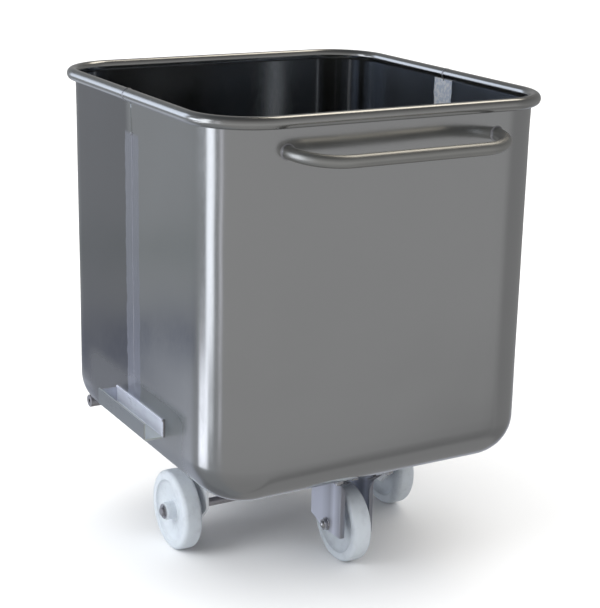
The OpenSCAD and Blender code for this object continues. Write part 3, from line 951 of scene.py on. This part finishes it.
def wheel_profile():
    """Half section of a moulded wheel, mirrored about its middle."""
    hub_r, hub_end = 0.0165, HUB_HALF
    web, dish_in, dish_out = 0.005, hub_r + 0.003, 0.054
    face, shoulder = WHEEL_HALF, 0.0085
    half = [(BUSH_R, hub_end - 0.0006), (BUSH_R + 0.0006, hub_end), (hub_r - 0.0012, hub_end)]
    half += [(hub_r, hub_end - 0.0012)]
    half += [(hub_r + 0.0006, web + 0.004)]
    half += arc((dish_in + 0.003, web + 0.004), 0.003, 200, 270, 4)
    half += [(0.036, web + 0.0015), (dish_out - 0.006, web + 0.0035)]
    half += [(dish_out - 0.001, web + 0.006), (dish_out + 0.0022, face - 0.004)]
    half += [(dish_out + 0.0034, face - 0.001), (dish_out + 0.0052, face)]
    half += [(WHEEL_R - shoulder, face)]
    half += arc((WHEEL_R - shoulder - 0.0002, face - shoulder), shoulder, 80, 8, 7)
    half += [(WHEEL_R, 0.004)]
    return half + [(r, -x) for r, x in reversed(half)]


def wheel(name, node):
    """A moulded wheel, turned from its profile."""
    where = Matrix.Translation(middle(node))
    thing = piece(name, *placed(lathe(wheel_profile(), 96), where), node=node)
    rounding = thing.modifiers.new("edges", "BEVEL")
    rounding.width = 0.0006
    rounding.segments = 2
    rounding.limit_method = "ANGLE"
    rounding.angle_limit = math.radians(30)
    thing.modifiers.new("normals", "WEIGHTED_NORMAL")


for wheel_node in ("left_wheel", "right_wheel", "front_wheel", "rear_wheel"):
    wheel(wheel_node + "_tyre", wheel_node)


# ---- castors ----


def fork(end):
    """A pressed fork: crown, two legs with a folded front edge, and soft bends between them."""
    node = end + "_fork"
    axis = middle(end + "_kingpin")
    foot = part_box(node)[0].z
    leg = middle(end + "_axle_tube").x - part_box(end + "_axle_tube")[0].x + FORK_SHEET
    mid = leg - FORK_SHEET / 2
    race_gap = 0.0045
    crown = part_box(end + "_swivel_race")[0].z - race_gap - FORK_SHEET / 2
    bend = 0.009
    front, rear = -0.020, 0.082
    toe = foot + 0.013
    waist = foot + 0.061
    neck = crown - 0.018

    def span(z):
        """Front and rear edge of a leg at height z, about the swivel axis."""
        back = rear
        if z > waist:
            back = rear - (z - waist) * 0.76
        elif z < toe:
            back = 0.042 + (z - foot) / (toe - foot) * 0.036
        nose = front
        if z > neck:
            nose = front - (z - neck) * 0.66
        return nose, back

    heights = [foot + 0.0005, foot + 0.004, foot + 0.009, toe]
    heights += [toe + (crown - bend - toe) * i / 16 for i in range(1, 17)]
    profile = [(-mid, z) for z in heights]
    profile += arc((bend - mid, crown - bend), bend, 165, 90, 5)
    profile += [(x * (mid - bend) / 4, crown) for x in range(-3, 1)]
    profile += [(-x, z) for x, z in reversed(profile[:-1])]
    columns = 24
    rings = []
    for x, z in profile:
        nose, back = span(z)
        on_leg = smooth_step(crown - 0.014 - z, 0.0, 0.02)
        fold, turn = 0.0075 * on_leg, 0.0022 * on_leg
        side = 1 if x > 0 else -1
        ring = [(x - side * fold, nose), (x - side * (fold + turn) / 2, nose)]
        for i in range(5):
            a = math.radians(90 * i / 4)
            ring.append((x - side * turn * (1 - math.sin(a)), nose + turn * (1 - math.cos(a))))
        for i in range(1, columns + 1):
            y = nose + turn + (back - nose - turn) * i / columns
            rib = smooth_step(y, -0.010, 0.006) * (1 - smooth_step(y, 0.014, 0.034))
            ring.append((x + side * 0.0007 * on_leg * rib, y))
        rings.append([Vector((axis.x + ring_x, axis.y + ring_y, z)) for ring_x, ring_y in ring])
    vertices, faces = rings_to_mesh(rings, closed_rings=False, capped=False)
    # The pressing wears the fork steel, with its painted shade and highlight bands
    thing = piece(node + "_pressing", vertices, faces, node=node, look=fork_steel(end))
    thickness = thing.modifiers.new("sheet", "SOLIDIFY")
    thickness.thickness = FORK_SHEET
    thickness.offset = 0
    thickness.use_even_offset = True
    split_edges(thing)


def hexagon(across_flats):
    """Outline of a nut."""
    corner = across_flats / 2 / math.cos(math.pi / 6)
    return arc((0, 0), corner, 30, 330, 5)


def fork_bolt(end):
    """A fork's axle bolt with its hexagon head."""
    centre = middle(end + "_axle_tube")
    low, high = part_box(end + "_fork_washers")
    head = 0.0075
    tip = low.x - NUT_H + 0.001
    at_head = stand((Y, Z, X), (high.x, centre.y, centre.z))
    shank = turned([(0, tip), (BOLT_R, tip), (BOLT_R, high.x), (0, high.x)], 32)
    parts = [placed(prism(hexagon(size(end + "_fork_nut").y), head), at_head)]
    parts.append(placed(shank, Matrix.Translation((0, centre.y, centre.z))))
    piece(end + "_axle_bolt", *join(*parts), node=end + "_fork_bolt", bevel=0.0008)


def dome_nut(end):
    """The nut on the bolt's end: a hexagon with a round cap."""
    centre = middle(end + "_axle_tube")
    nut_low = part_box(end + "_fork_nut")[0].x
    outer_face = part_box(end + "_fork_washers")[0].x - NUT_H
    tip = outer_face + 0.001
    rise = outer_face - nut_low
    base = 0.0074
    radius = (base * base + rise * rise) / (2 * rise)
    spread = math.asin(base / radius)
    angles = [spread * i / 8 for i in range(9)]
    profile = [(radius * math.sin(a), nut_low + radius * (1 - math.cos(a))) for a in angles]
    dome = turned([*profile, (base, tip), (0, tip)], 40)
    cap = placed(dome, Matrix.Translation((0, centre.y, centre.z)))
    at_nut = stand((Y, Z, X), (outer_face, centre.y, centre.z))
    body = placed(prism(hexagon(size(end + "_fork_nut").y), NUT_H), at_nut)
    piece(end + "_dome_nut", *join(body, cap), node=end + "_fork_nut", bevel=0.0008)


def fork_washers(end):
    """The washers under the bolt's head and its nut."""
    centre = middle(end + "_axle_tube")
    low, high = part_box(end + "_fork_washers")
    outer = (high.y - low.y) / 2
    rings = [lathe(washer_profile(BOLT_R, outer, start), 48) for start in (low.x, high.x - WASHER)]
    where = Matrix.Translation((0, centre.y, centre.z))
    piece(end + "_washer_pair", *placed(join(*rings), where), node=end + "_fork_washers")


for castor_end in ("front", "rear"):
    fork(castor_end)
    fork_bolt(castor_end)
    dome_nut(castor_end)
    fork_washers(castor_end)


# ---- floor, light and camera ----


def floor():
    """A matt pale floor that the steel doesn't mirror."""
    mesh = bpy.data.meshes.new("floor")
    reach = 30.0
    corners = [(-reach, -reach, 0), (reach, -reach, 0), (reach, reach, 0), (-reach, reach, 0)]
    mesh.from_pydata(corners, [], [(0, 1, 2, 3)])
    thing = bpy.data.objects.new("floor", mesh)
    bpy.context.scene.collection.objects.link(thing)
    s = Shader("pale_floor")
    grain = s.noise(3.0, 2.0)
    s.link(s.mix(grain, (0.96, 0.96, 0.96), (0.98, 0.98, 0.98)), s.bsdf.inputs["Base Color"])
    s.bsdf.inputs["Roughness"].default_value = 0.9
    s.bsdf.inputs["Specular IOR Level"].default_value = 0.0
    mesh.materials.append(s.material)
    thing.visible_glossy = False


floor()


def direction(azimuth, elevation):
    """Unit vector; azimuth is from +Y towards +X, in degrees."""
    a, e = math.radians(azimuth), math.radians(elevation)
    return Vector((math.sin(a) * math.cos(e), math.cos(a) * math.cos(e), math.sin(e)))


# Radiance by elevation in degrees, before the zones are laid over it. The ends come first.
SKY_LEVELS = [
    (-90, 0.28), (90, 0.085), (-60, 0.30), (-42, 0.32), (-30, 0.37), (-22, 0.38), (-15, 0.37),
    (-8, 0.355), (0, 0.32), (12, 0.30), (30, 0.26), (60, 0.175),
]
# Blend, colour, (azimuth, core, edge, lowest, highest, softness) in degrees
SKY_ZONES = [
    ("MULTIPLY", (0.88, 0.92, 0.96), (-45, 40, 75, -90, 90, 1)),
    ("MULTIPLY", (0.42, 0.44, 0.55), (-22, 16, 34, -18.7, -17.6, 0.7)),
    ("MULTIPLY", (0.80, 0.83, 0.82), (-22, 16, 34, -15.0, -14.3, 0.7)),
    ("ADD", (0.05, 0.05, 0.06), (-30, 25, 50, -25, -20.5, 1.5)),
    ("MULTIPLY", (0.78, 0.78, 0.80), (-10, 20, 50, -70, -27, 4)),
    ("MULTIPLY", (0.70, 0.70, 0.70), (85, 35, 58, -38, 40, 12)),
    ("MULTIPLY", (0.72, 0.72, 0.72), (138, 2, 9, -90, -20.5, 2)),
    ("ADD", (0.20, 0.22, 0.27), (15, 30, 60, -42, -24, 8)),
    ("ADD", (1.25, 1.3, 1.4), (-83, 3, 12, -18.5, 28, 2.5)),
    ("ADD", (1.6, 1.65, 1.8), (-67, 6, 15, -24, -20.5, 2)),
    ("ADD", (1.5, 1.6, 1.8), (-62, 8, 14, -7, 10, 1)),
    ("ADD", (0.36, 0.36, 0.40), (-106, 1, 4.5, -19, 20, 4)),
    ("ADD", (0.9, 1.0, 1.2), (-29, 7, 14, -3, 26, 4)),
    ("ADD", (1.9, 1.75, 1.5), (66, 14, 30, 47, 60, 6)),
]


def sine(angle):
    """Height on the unit sphere at an elevation in degrees."""
    return math.sin(math.radians(max(-90, min(90, angle))))


def sky_zone(sky, level, height, azimuth, core, edge, low, high, soft):
    """1 within core degrees of the azimuth and from low to high in elevation, 0 well outside."""
    dot = sky.add("ShaderNodeVectorMath", operation="DOT_PRODUCT")
    dot.inputs[1].default_value = direction(azimuth, 0)
    sky.link(level, dot.inputs[0])
    outer, inner = (math.cos(math.radians(a)) for a in (edge, core))
    share = sky.ramp(dot.outputs["Value"], outer, inner)
    if low > -90:
        above = sky.ramp(height, sine(low - soft), sine(low))
        share = sky.math("MULTIPLY", share, above)
    if high < 90:
        below = sky.ramp(height, sine(high), sine(high + soft), 1.0, 0.0)
        share = sky.math("MULTIPLY", share, below)
    return share


def studio():
    """The studio as the steel sees it: even grey, tall soft windows on the left, one warm lamp."""
    world = bpy.data.worlds.new("studio")
    bpy.context.scene.world = world
    world.use_nodes = True
    sky = Nodes(world.node_tree)
    background = sky.tree.nodes["Background"]
    ray = sky.add("ShaderNodeTexCoord").outputs["Generated"]
    split = sky.add("ShaderNodeSeparateXYZ")
    sky.link(ray, split.inputs[0])
    height = split.outputs[2]
    flat = sky.add("ShaderNodeVectorMath", operation="MULTIPLY")
    flat.inputs[1].default_value = (1, 1, 0)
    sky.link(ray, flat.inputs[0])
    level = sky.add("ShaderNodeVectorMath", operation="NORMALIZE")
    sky.link(flat.outputs[0], level.inputs[0])

    stops = [((sine(elevation) + 1) / 2, (v, v, v)) for elevation, v in SKY_LEVELS]
    colour = sky.colour_ramp(sky.ramp(height, -1, 1), stops)
    for kind, value, place in SKY_ZONES:
        share = sky_zone(sky, level.outputs[0], height, *place)
        colour = sky.mix(share, colour, value, kind)
    # The camera sees plain white behind the floor's edge. Only reflections see the studio.
    is_camera = sky.add("ShaderNodeLightPath").outputs["Is Camera Ray"]
    sky.link(sky.mix(is_camera, colour, (1, 1, 1)), background.inputs["Color"])
    background.inputs["Strength"].default_value = 1.0


studio()


def area_light(name, azimuth, elevation, distance, width, power, colour):
    """A soft light that shapes the plastic and the floor; the steel sees only the studio."""
    light = bpy.data.lights.new(name, "AREA")
    light.shape = "DISK"
    light.size = width
    light.energy = power
    light.color = colour
    thing = bpy.data.objects.new(name, light)
    bpy.context.scene.collection.objects.link(thing)
    aim = Vector((0, SEAM_Y, 0.4))
    thing.location = aim + direction(azimuth, elevation) * distance
    thing.rotation_mode = "QUATERNION"
    thing.rotation_quaternion = (aim - thing.location).to_track_quat("-Z", "Y")
    thing.visible_glossy = False


area_light(
    "left_key", azimuth=-95, elevation=30, distance=3.5, width=2.0, power=46, colour=(0.92, 0.96, 1.0)
)


def ceiling():
    """Even light from straight above, wide enough for soft shadows."""
    light = bpy.data.lights.new("ceiling", "SUN")
    light.energy = 3.3
    light.angle = math.radians(125)
    thing = bpy.data.objects.new("ceiling", light)
    bpy.context.scene.collection.objects.link(thing)
    thing.visible_glossy = False


ceiling()


def camera():
    """The photographer's view: 30 degrees round to the left, looking down by 17."""
    yaw, pitch, roll = 29.84, 16.69, math.radians(1.24)
    forward = direction(yaw, -pitch)
    level_right = direction(yaw + 90, 0)
    level_down = forward.cross(level_right)
    right = level_right * math.cos(roll) - level_down * math.sin(roll)
    down = level_right * math.sin(roll) + level_down * math.cos(roll)
    data = bpy.data.cameras.new("camera")
    data.sensor_width = 36
    data.lens = 90.6
    thing = bpy.data.objects.new("camera", data)
    bpy.context.scene.collection.objects.link(thing)
    place = Vector((-1.3432, -2.3718 + SEAM_Y, 1.2621))
    thing.matrix_world = stand((right, -down, -forward), place)
    bpy.context.scene.camera = thing


camera()
bpy.context.scene.view_settings.view_transform = "Standard"
